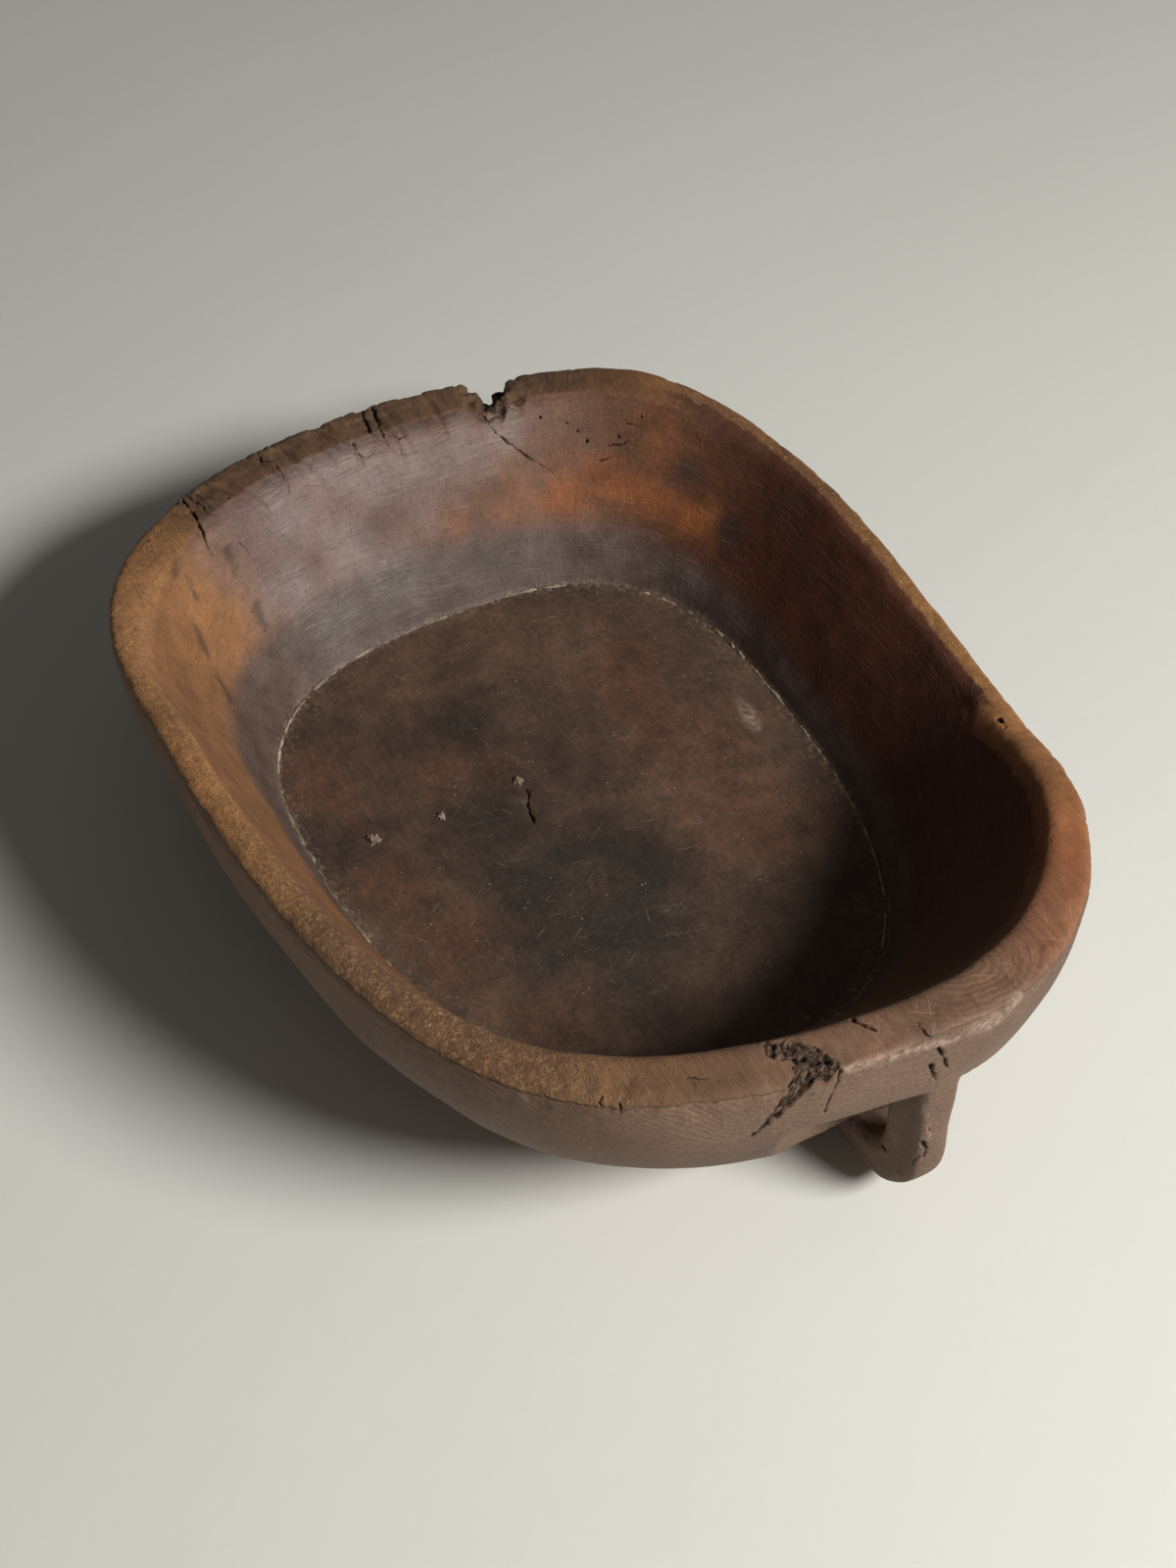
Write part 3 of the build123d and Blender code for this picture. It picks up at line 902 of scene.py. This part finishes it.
# %% [markdown]
# The outside is weathered grey-brown. The block's fibres run along X, so the grain is noise stretched that
# way, and the growth rings lie round a line along the block: they show as fine lines on the sides and as
# arcs on the ends, as on sawn wood, because the pattern is solid and not wrapped round the surface.

# %% Finish of the outside
RING_AXIS = (0.0, 0.02, 0.30)
RING_SQUASH = (0.06, 1.0, 1.0)
RING_SPACING = 3.4 * MM
HULL_TONES = (0.30, paint(94, 69, 55)), (0.52, paint(118, 91, 73)), (0.74, paint(136, 107, 87))
RING_BROWN = paint(62, 45, 37)
PORE_BROWN = paint(48, 34, 27)
DRY_FIBRE = paint(160, 134, 112)


def outside_finish(finish):
    grain = finish.mottle((26.0, 640.0, 640.0), 5.0, 0.62)
    wander = finish.mottle((7.0, 16.0, 16.0), 3.0) * 0.030
    ring, _ = finish.rings(RING_AXIS, RING_SQUASH, wander, RING_SPACING)
    broad = finish.mottle(13.0, 6.0, 0.6)
    grit = finish.mottle(420.0, 3.0, 0.6)
    colour = finish.shaded(finish.ramp(broad, *HULL_TONES), (grain, 0.72, 1.18))
    colour = finish.layers(
        colour,
        (finish.zone("polish") * 0.6, finish.shaded(colour, (grain, 0.55, 0.80))),
        (ring.eased(0.55, 1.0) * broad.eased(0.40, 0.62) * 0.30, RING_BROWN),
        (grit.eased(0.44, 0.32) * 0.38, PORE_BROWN),
        (grit.eased(0.60, 0.72) * 0.3, DRY_FIBRE),
    )
    return colour, 0.66 + broad * 0.18, grain * 0.30 + ring * 0.06 + grit * 0.24


print("growth rings every", RING_SPACING / MM, "mm")

# %% [markdown]
# The rim has worn to a fuzz of torn fibres on the left and, less, on the thin right side, and to a dull
# polish near the handle, where the rings of a knot show as arcs. Masks blend the two. The fuzz is mostly
# relief: fine noise in the bump catches the light far better than painted dots. Its tips are also painted
# pale as a highlight, and the gaps between the tufts dark as painted shade.

# %% Finish of the rim
KNOT_PIXEL = (985, 989)
KNOT = tuple(land(KNOT_PIXEL))
KNOT_SQUASH = (1.0, 0.62, 1.0)
KNOT_REACH = 50 * MM
KNOT_SPACING = 2.9 * MM
TUFT_TIP_HIGHLIGHT = paint(196, 152, 100)
TUFT_SHADE = paint(92, 59, 34)
NAP_SHADE = paint(84, 54, 32)
NAP_DIRT = paint(58, 40, 28)
GROOVE_DIRT = paint(58, 42, 32)
GROOVE_EDGE = paint(140, 108, 84)
KNOT_DARK = paint(66, 42, 28)
KNOT_PALE = paint(150, 116, 92)
SCRATCH_PALE = paint(176, 142, 116)


def rim_finish(finish):
    fuzz = finish.zone("fuzz")
    polish = finish.zone("polish")
    rugged = finish.zone("rugged")
    broad = finish.mottle(34.0, 5.0, 0.62)
    nap = finish.mottle(1000.0, 4.0, 0.7)
    tufts = finish.mottle((430.0, 430.0, 300.0), 4.0, 0.7, 0.8)
    grain = finish.mottle((44.0, 520.0, 520.0), 4.0, 0.6)
    wander = finish.mottle(45.0, 3.0) * 0.008
    knot, away = finish.rings(KNOT, KNOT_SQUASH, wander, KNOT_SPACING)
    knot = knot * away.eased(KNOT_REACH, 0.4 * KNOT_REACH)
    spot = {"X": finish.zone("round") * 170.0, "Y": finish.zone("inward") * 45.0}
    grooves = finish.mottle(1.0, 5.0, 0.65, 0.8, finish.node("ShaderNodeCombineXYZ", {}, spot))
    lines = (finish.scratches(0.5, 0.0) + finish.scratches(2.1, 0.7)).held(0.0, 1.0)
    colour = finish.layers(
        finish.shaded(finish.tone("rim_tone"), (broad, 0.74, 1.26), (grain, 0.80, 1.20)),
        # Painted highlight on the tuft tips and painted shade between the tufts.
        (fuzz * tufts.eased(0.50, 0.70) * 0.70, TUFT_TIP_HIGHLIGHT),
        (fuzz * tufts.eased(0.48, 0.34) * 0.55, TUFT_SHADE),
        (fuzz * nap.eased(0.46, 0.32) * 0.45, NAP_SHADE),
        (nap.eased(0.42, 0.30) * 0.35, NAP_DIRT),
        (rugged * grooves.eased(0.50, 0.36) * 0.6, GROOVE_DIRT),
        (rugged * grooves.eased(0.56, 0.70) * 0.35, GROOVE_EDGE),
        (polish * knot.eased(0.55, 0.98) * 0.24, KNOT_DARK),
        (polish * knot.eased(0.25, 0.05) * broad.eased(0.46, 0.62) * 0.10, KNOT_PALE),
        (polish * lines * 0.5, SCRATCH_PALE),
    )
    rough = 0.74 + fuzz * 0.16 - polish * 0.08 + nap * 0.06
    height = (nap + tufts) * (0.4 + fuzz * 1.1) + grain * 0.5 - knot * polish * 0.10 + broad * 0.4
    return colour, rough, height + rugged * grooves * 1.6


print("knot at", [round(side / MM) for side in KNOT], "mm")

# %% [markdown]
# The inner wall is scraped smooth and soaked with fat. A greyish bloom lies over its brown on the far side,
# and is a little less rough than the rest, which gives a soft sheen; its pale grey also paints part of that
# sheen into the colour. Fine lines left by the scraper run round the bowl, so that noise is stretched along
# X and Y alike and squeezed along Z. Their pale lines are strongest in the bloom, where they paint glints.

# %% Finish of the inner wall
AMBER = (0.30, paint(112, 60, 26)), (0.70, paint(156, 92, 44))
BLOOM_AND_SHEEN = paint(138, 122, 118)
FAT = (0.30, paint(64, 51, 45)), (0.52, paint(84, 70, 64)), (0.72, paint(98, 86, 81))
WALL_SOOT_AND_SHADE = paint(50, 37, 32)
WALL_PORE = paint(54, 38, 31)
SCRAPED_PALE_AND_GLINT = paint(176, 160, 150)
SCRAPED_DARK = paint(62, 46, 40)


def wall_finish(finish):
    pale = finish.zone("pale")
    grease = finish.zone("grease")
    broad = finish.mottle(17.0, 6.0, 0.6)
    cloud = finish.mottle(55.0, 5.0, 0.62)
    lift = finish.node("ShaderNodeCombineXYZ", {}, {"Z": finish.mottle(11.0, 2.0) * 0.020})
    scraper = finish.mottle((48.0, 48.0, 1300.0), 3.0, 0.6, 0.1, finish.vector("ADD", finish.where, lift))
    strokes = finish.mottle((420.0, 420.0, 60.0), 4.0, 0.6, 0.5)
    pores = finish.mottle((620.0, 620.0, 190.0), 3.0, 0.6)
    colour = finish.layers(
        finish.shaded(finish.tone("wall_tone"), (broad, 0.80, 1.22), (cloud, 0.76, 1.24)),
        (finish.zone("amber") * (broad * 0.8 + cloud * 0.5 + 0.12), finish.ramp(cloud, *AMBER)),
        # Grey bloom, partly painted sheen.
        (pale * (cloud * 0.9 + 0.05), BLOOM_AND_SHEEN),
        (grease * 0.9, finish.ramp(cloud, *FAT)),
        # Soot, and painted shade on the right of the hollow.
        (finish.zone("soot") * 0.75, WALL_SOOT_AND_SHADE),
    )
    colour = finish.layers(
        finish.shaded(colour, (strokes, 0.84, 1.16)),
        (pores.eased(0.42, 0.28) * 0.55, WALL_PORE),
        # Pale scraper lines, stronger in the bloom, where they are painted glints.
        (scraper.eased(0.54, 0.70) * (pale * 0.26 + 0.06), SCRAPED_PALE_AND_GLINT),
        (scraper.eased(0.44, 0.30) * (pale * 0.25 + 0.30), SCRAPED_DARK),
    )
    rough = 0.64 - pale * 0.10 - grease * 0.06 + cloud * 0.10
    return colour, rough, scraper * 0.60 + strokes * 0.40 + pores * 0.35 + cloud * 0.6


print("inner wall ready")

# %% [markdown]
# The floor is the darkest part, brown with reddish and sooty stains, and towards the near right the sooty
# patches also paint shade. Hundreds of knife and scraper scratches cross it in all directions, and specks
# of old flour lie among them. Each set of scratches is the same stretched noise turned to another angle.

# %% Finish of the floor
SCRATCH_ANGLES = (0.3, 1.0, 1.8, 2.6)
FLOOR_TONES = (0.30, paint(56, 42, 35)), (0.52, paint(77, 58, 46)), (0.72, paint(94, 72, 57))
RUST = paint(73, 47, 34), paint(97, 65, 47)
FLOOR_SOOT_AND_SHADE = paint(30, 24, 19), paint(50, 41, 33)
SCRATCH_GREY = paint(136, 116, 98)
FLOUR = paint(170, 152, 130)


def floor_finish(finish):
    broad = finish.mottle(15.0, 6.0, 0.62)
    cloud = finish.mottle(70.0, 5.0, 0.65)
    grain = finish.mottle((60.0, 520.0, 520.0), 4.0, 0.6)
    fine = finish.mottle(300.0, 5.0, 0.7, 0.6)
    colour = finish.layers(
        finish.ramp(broad, *FLOOR_TONES),
        (finish.zone("rust") * 0.7, finish.mix(cloud, *RUST)),
        # Soot, and painted shade towards the near right.
        (finish.zone("soot") * 0.9, finish.mix(cloud, *FLOOR_SOOT_AND_SHADE)),
    )
    colour = finish.shaded(colour, (cloud, 0.70, 1.36), (fine, 0.72, 1.32), (grain, 0.84, 1.16))
    height = cloud * 0.5 + grain * 0.3 + fine * 0.5
    for number, angle in enumerate(SCRATCH_ANGLES):
        shown = finish.mottle(24.0 + number).eased(0.44, 0.62)
        line = finish.scratches(angle, 0.31 * number) * shown
        colour = finish.mix(line * 0.55, colour, SCRATCH_GREY)
        height = height - line * 0.25
    flour = finish.specks(270.0).eased(0.20, 0.08) * finish.mottle(85.0, 4.0).eased(0.53, 0.66)
    return finish.mix(flour * 0.6, colour, FLOUR), 0.56 + broad * 0.16, height + flour * 0.4


print(len(SCRATCH_ANGLES), "sets of scratches on the floor")

# %% [markdown]
# The zones blend the finishes. Worn edges are polished pale, and along the lip's edge that pale is also a
# painted highlight. The torn patch and the cracks come last, because dirt gathers in them whatever the wood
# round them looks like. The dark of the cracks and holes is also painted shade, and at the broken notch it
# is painted shade alone. One bump node carries all the fine relief.

# %% The carved wood
BARE_EDGE = paint(140, 98, 66)
EDGE_DIRT = paint(50, 36, 27)
WORN_PALE_AND_HIGHLIGHT = paint(174, 152, 137)
OLD_DUST = paint(150, 134, 112)
SPLINTERS = (0.38, paint(22, 16, 12)), (0.50, paint(66, 47, 35)), (0.60, paint(118, 90, 68))
# Dirt and painted shade inside the cracks and holes, and painted shade alone at the notch.
CRACK_DIRT_AND_SHADE = paint(27, 19, 14)
FINE_RELIEF = 0.8 * MM


def blend(finish, share, first, second):
    """Between two finishes, each a colour, a roughness and a height."""
    colour = finish.mix(share, first[0], second[0])
    return colour, first[1] + (second[1] - first[1]) * share, first[2] + (second[2] - first[2]) * share


def torn_fibres(finish):
    """Noise drawn out along the tear."""
    sockets = {0: finish.where, 1: TEAR_WAY}
    along = finish.node("ShaderNodeVectorMath", {"operation": "DOT_PRODUCT"}, sockets, out="Value")
    sockets = {0: TEAR_WAY, "Scale": along * -0.88}
    back = finish.node("ShaderNodeVectorMath", {"operation": "SCALE"}, sockets)
    return finish.mottle(620.0, 4.0, 0.7, where=finish.vector("ADD", finish.where, back))


def carved_wood():
    finish = Finish("carved_wood")
    edge = finish.mottle(160.0, 5.0, 0.65) - 0.5
    hollow = (finish.zone("hollow") + edge * 0.4).eased(0.35, 0.65)
    floor = (finish.zone("floor") + edge * 0.2).eased(0.35, 0.65)
    top = (finish.zone("top") + edge * 0.8).eased(0.20, 0.80)
    look = blend(finish, hollow, outside_finish(finish), wall_finish(finish))
    look = blend(finish, floor, look, floor_finish(finish))
    colour, rough, height = blend(finish, top, look, rim_finish(finish))
    border = top * (1 - top) * 4.0
    dust = finish.mottle(330.0, 4.0, 0.7)
    fibres = torn_fibres(finish)
    torn = finish.zone("torn")
    crack = finish.zone("crack")
    colour = finish.layers(
        colour,
        (border * hollow * (edge + 0.5).eased(0.45, 0.65) * 0.45, BARE_EDGE),
        (border * (1 - hollow) * (edge + 0.5).eased(0.62, 0.42) * 0.5, EDGE_DIRT),
        # Pale wear, and along the lip's edge a painted highlight.
        (finish.zone("worn") * dust.eased(0.30, 0.70) * 0.72, WORN_PALE_AND_HIGHLIGHT),
        (finish.zone("dust") * dust.eased(0.48, 0.70) * 0.6, OLD_DUST),
        ((torn * 1.5 - dust * 0.5).held(0.0, 1.0), finish.ramp(fibres, *SPLINTERS)),
        ((crack * 1.5 - dust * 0.8).held(0.0, 0.9), CRACK_DIRT_AND_SHADE),
    )
    rough = (rough + torn * 0.3 + crack * 0.3).held(0.35, 0.95)
    return finish.done(colour, rough, height + fibres * torn * 1.6, FINE_RELIEF)


thinned.materials.clear()
thinned.materials.append(carved_wood())
print("wood has", len(thinned.materials[0].node_tree.nodes), "nodes")

# %% [markdown]
# Dried dough clings in the corner of the hollow as a thin broken line. The solid gives its place. Here it
# is a strip of little lumps along the floor's outline, whose size comes from noise, so that it swells and
# nearly vanishes as the real one does.

# %% Dough in the corner
BEAD_STEPS = 1100
BEAD_SIDES = 6
BEAD_HALF_WIDTH = 1.2 * MM
BEAD_RISE = 1.7 * MM
BEAD_INSET = 0.9 * MM
BEAD_SUNK = 0.3 * MM


def floor_outline(turn, inset):
    """Point on the floor's outline at an angle of the plan, drawn in by an inset."""
    way = np.array([math.cos(turn), math.sin(turn)])
    span = (np.abs(way) ** PLAN_SQUARENESS).sum() ** (-1 / PLAN_SQUARENESS)
    spot = PLAN_MIDDLE + (np.where(way > 0, FLOOR_PLUS, FLOOR_MINUS) - inset) * span * way
    return Vector((spot[0], spot[1], FLOOR_LEVEL - BEAD_SUNK))


def dough_line():
    """Lumpy closed strip of dough along the corner."""
    shape = bmesh.new()
    loops = []
    middle = Vector((*PLAN_MIDDLE, FLOOR_LEVEL - BEAD_SUNK))
    for step in range(BEAD_STEPS):
        spot = floor_outline(2 * math.pi * step / BEAD_STEPS, BEAD_INSET)
        lump = noise.fractal(spot * 150.0, 0.8, 2.0, 4) + 0.6 * noise.noise(spot * 28.0)
        swell = 0.25 + 0.85 * max(0.0, min(1.0, 0.30 + 1.3 * lump))
        inward = (middle - spot).normalized()
        loop = []
        for side in range(BEAD_SIDES):
            lean = math.pi * side / (BEAD_SIDES - 1)
            bump = swell * (1 + 0.35 * noise.noise(spot * 900.0 + Vector((side, 3.0, 0))))
            offset = inward * (BEAD_HALF_WIDTH * bump * math.cos(lean))
            loop.append(shape.verts.new(spot + offset + Vector((0, 0, BEAD_RISE * bump * math.sin(lean)))))
        loops.append(loop)
    for before, after in zip(loops, loops[1:] + loops[:1]):
        for side in range(BEAD_SIDES):
            other = (side + 1) % BEAD_SIDES
            shape.faces.new((before[side], before[other], after[other], after[side]))
    bmesh.ops.recalc_face_normals(shape, faces=shape.faces)
    return mesh_from(shape, "dough_line")


def stand_in(name, mesh, node):
    """Puts a mesh in the scene in place of a solid."""
    made = in_scene(name, mesh)
    mesh.polygons.foreach_set("use_smooth", np.ones(len(mesh.polygons), bool))
    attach(made, "root")
    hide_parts(node)
    return made


bead = stand_in("dough_line", dough_line(), "dough_bead")
print("dough line of", len(bead.data.polygons), "faces")

# %% [markdown]
# A crumb is a small rough lump. An icosphere is squashed to the box of its solid, pushed about by noise
# and cut off flat where it sticks to the floor.

# %% Crumbs on the floor
CRUMB_SIZE = 0.72
CRUMB_LUMP = 0.60
CRUMB_FOOT = -0.08


def crumb_mesh(node, seed):
    low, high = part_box(node)
    centre = Vector(((low.x + high.x) / 2, (low.y + high.y) / 2, low.z))
    half = Vector(((high.x - low.x) / 2, (high.y - low.y) / 2, high.z - low.z))
    shape = bmesh.new()
    bmesh.ops.create_icosphere(shape, subdivisions=4, radius=1.0)
    for corner in shape.verts:
        lump = CRUMB_SIZE + CRUMB_LUMP * noise.fractal(corner.co * 1.5 + Vector((seed, 0, 0)), 0.9, 2.0, 5)
        spot = corner.co * lump
        corner.co = centre + Vector((spot.x * half.x, spot.y * half.y, max(spot.z, CRUMB_FOOT) * half.z))
    return mesh_from(shape, node)


crumbs = []
for seed, side in enumerate(("left", "middle", "right")):
    node = "dough_crumb_" + side
    crumbs.append(stand_in("crumb_" + side, crumb_mesh(node, 4.0 * seed), node))


DOUGH_RELIEF = 0.3 * MM
BEAD_TONES = paint(84, 71, 59), paint(134, 120, 100), paint(182, 169, 147)
CRUMB_TONES = paint(86, 72, 58), paint(124, 108, 88), paint(166, 150, 126)


def dried_dough(name, tones):
    finish = Finish(name)
    cloud = finish.mottle(90.0, 6.0, 0.7)
    grit = finish.mottle(1300.0, 3.0, 0.6)
    colour = finish.shaded(finish.ramp(cloud, *zip((0.30, 0.50, 0.70), tones)), (grit, 0.8, 1.2))
    return finish.done(colour, 0.82 + grit * 0.1, cloud + grit * 0.6, DOUGH_RELIEF)


bead.data.materials.append(dried_dough("dried_dough", BEAD_TONES))
crumb_dough = dried_dough("dirty_dough", CRUMB_TONES)
for lump in crumbs:
    lump.data.materials.append(crumb_dough)
print([lump.name for lump in crumbs])

# %% [markdown]
# The ground is plain and pale. One broad soft lamp stands to the right of the handle end, so that the hollow
# is lit across and its floor shows, and a weak even sky fills the shadows a little.

# %% Ground and light
GROUND_HALF = 6.0
LAMP_FROM = Vector((0.674, 0.364, 0.643))
LAMP_AWAY = 2.6
LAMP_WIDE = 1.0
LAMP_HIGH = 0.60
LAMP_WATTS = 80.0
LAMP_COLOUR = (1.0, 0.985, 0.95)
SKY = (1.0, 0.96, 0.90)
SKY_STRENGTH = 0.08
GROUND_TONES = paint(220, 220, 213), paint(226, 226, 220)
GROUND_RELIEF = 0.15 * MM


def pale_ground():
    finish = Finish("pale_ground")
    cloud = finish.mottle(2.5, 4.0)
    grain = finish.mottle(60.0, 3.0)
    colour = finish.mix(cloud, *GROUND_TONES)
    return finish.done(colour, 0.60 + grain * 0.1, grain, GROUND_RELIEF)


ground = in_scene("ground", bpy.data.meshes.new("ground"))
corners = [(x * GROUND_HALF, y * GROUND_HALF, 0) for x, y in ((-1, -1), (1, -1), (1, 1), (-1, 1))]
ground.data.from_pydata(corners, [], [(0, 1, 2, 3)])
ground.data.materials.append(pale_ground())

lamp = in_scene("lamp", bpy.data.lights.new("lamp", "AREA"))
lamp.data.shape = "ELLIPSE"
lamp.data.size = LAMP_WIDE
lamp.data.size_y = LAMP_HIGH
lamp.data.energy = LAMP_WATTS
lamp.data.color = LAMP_COLOUR
lamp.location = LAMP_FROM.normalized() * LAMP_AWAY
lamp.rotation_euler = LAMP_FROM.to_track_quat("Z", "Y").to_euler()

sky = bpy.data.worlds.new("sky")
sky.use_nodes = True
sky.node_tree.nodes["Background"].inputs["Color"].default_value = (*SKY, 1.0)
sky.node_tree.nodes["Background"].inputs["Strength"].default_value = SKY_STRENGTH
bpy.context.scene.world = sky
bpy.context.scene.view_settings.view_transform = "Standard"
print("lamp at", [round(side, 2) for side in lamp.location])
